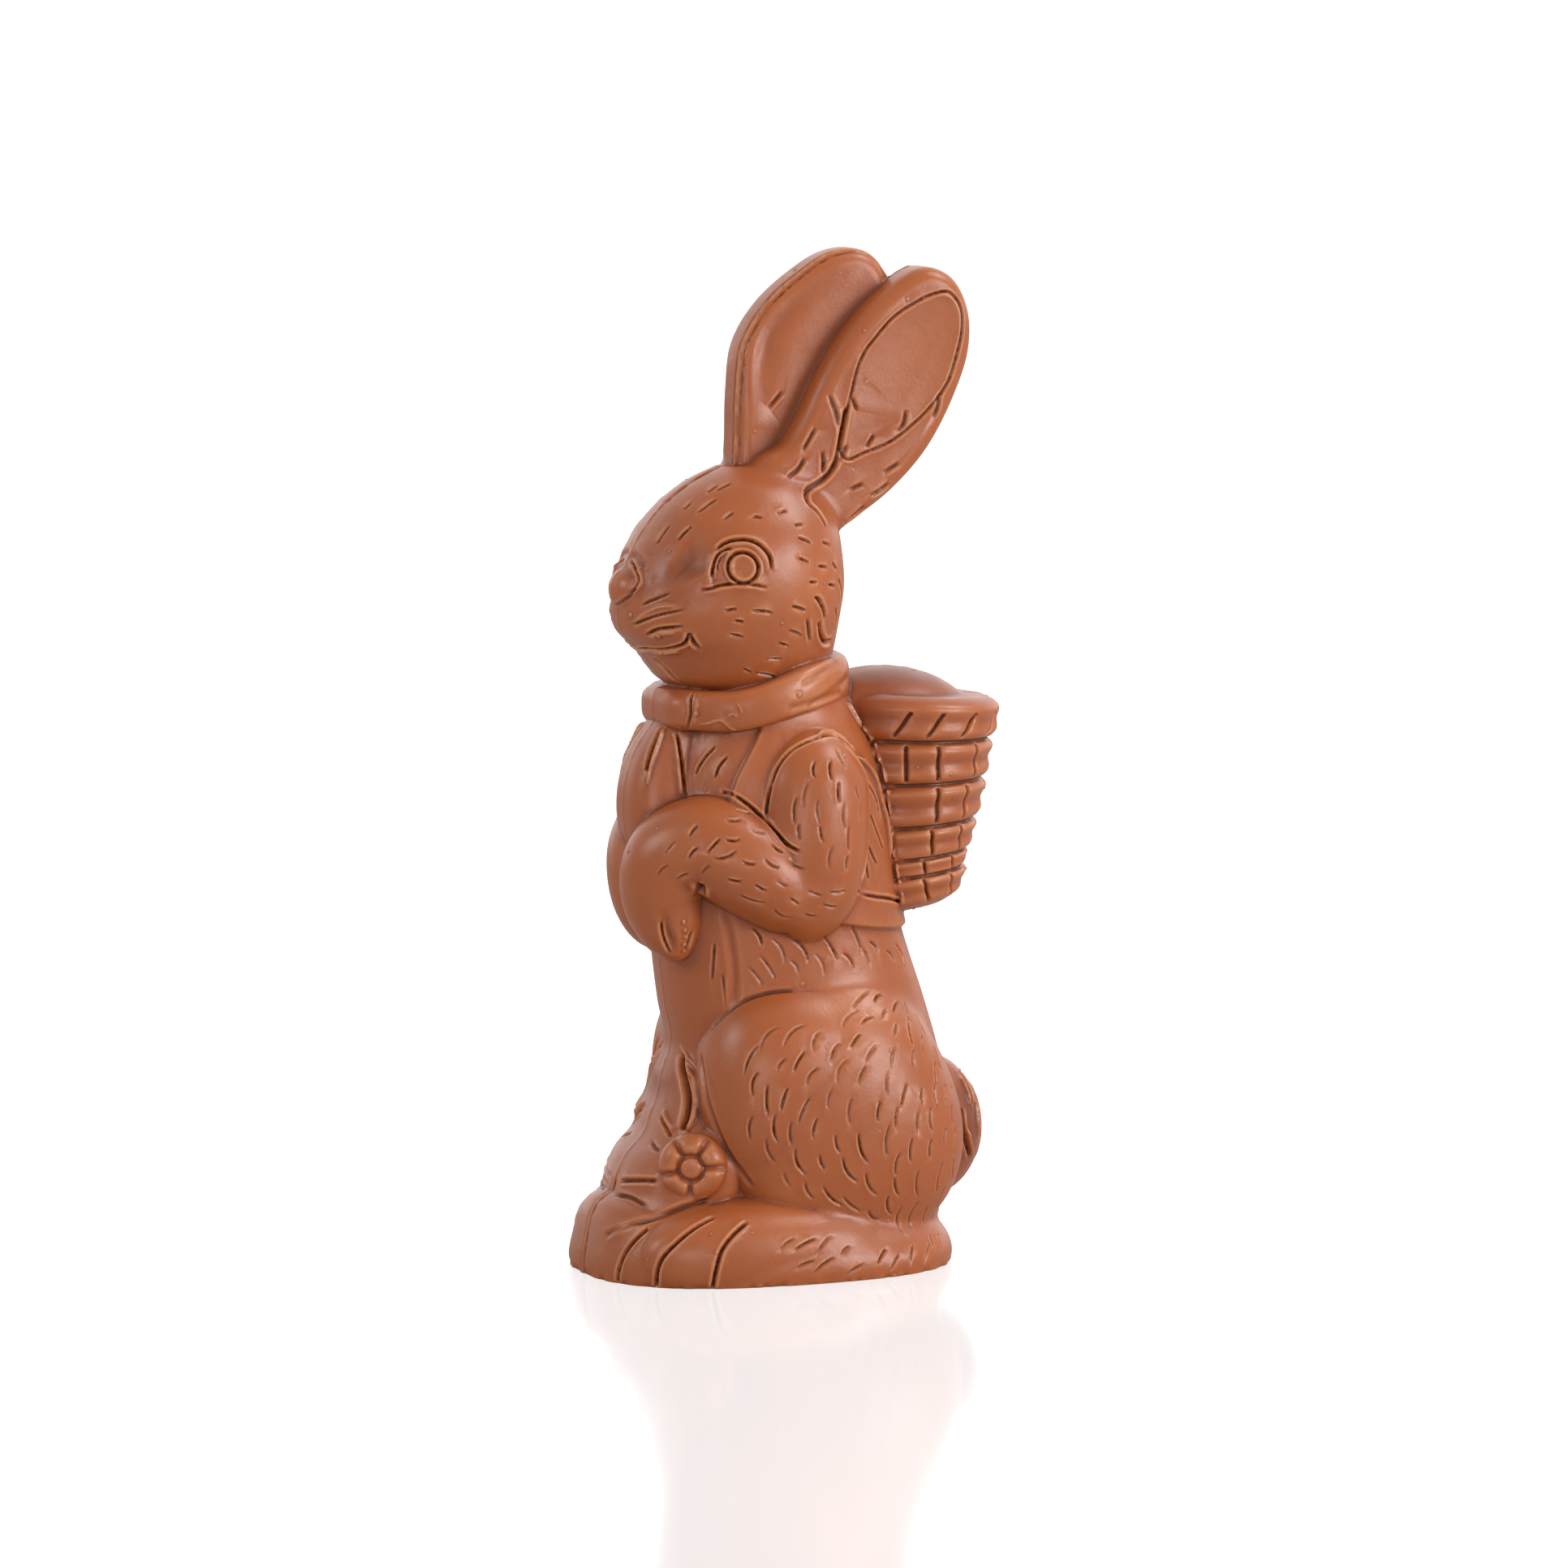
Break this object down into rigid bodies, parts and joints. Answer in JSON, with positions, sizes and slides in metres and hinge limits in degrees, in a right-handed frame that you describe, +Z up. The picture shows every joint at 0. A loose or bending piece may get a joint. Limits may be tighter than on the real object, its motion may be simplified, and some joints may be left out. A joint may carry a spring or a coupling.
{
  "type": "chocolate bunny",
  "caption": "Sitting-up rabbit of moulded milk chocolate, with a scarf, a vest and a woven basket on its back, one solid with a flat base.",
  "frame": {"origin": "the point of the flat base, in the plane where the mould's halves met, that the figure's front and back are measured from", "axes": "+Z up, the rabbit faces -Y, +X is the rabbit's own left side"},
  "size_m": [0.047, 0.071, 0.1632],
  "materials": {
    "milk_chocolate": "milk chocolate out of a smooth mould, a soft gloss with fine hair strokes in relief"
  },
  "bodies": {
    "root": {"chocolate_bunny": "milk_chocolate"}
  },
  "joints": []
}
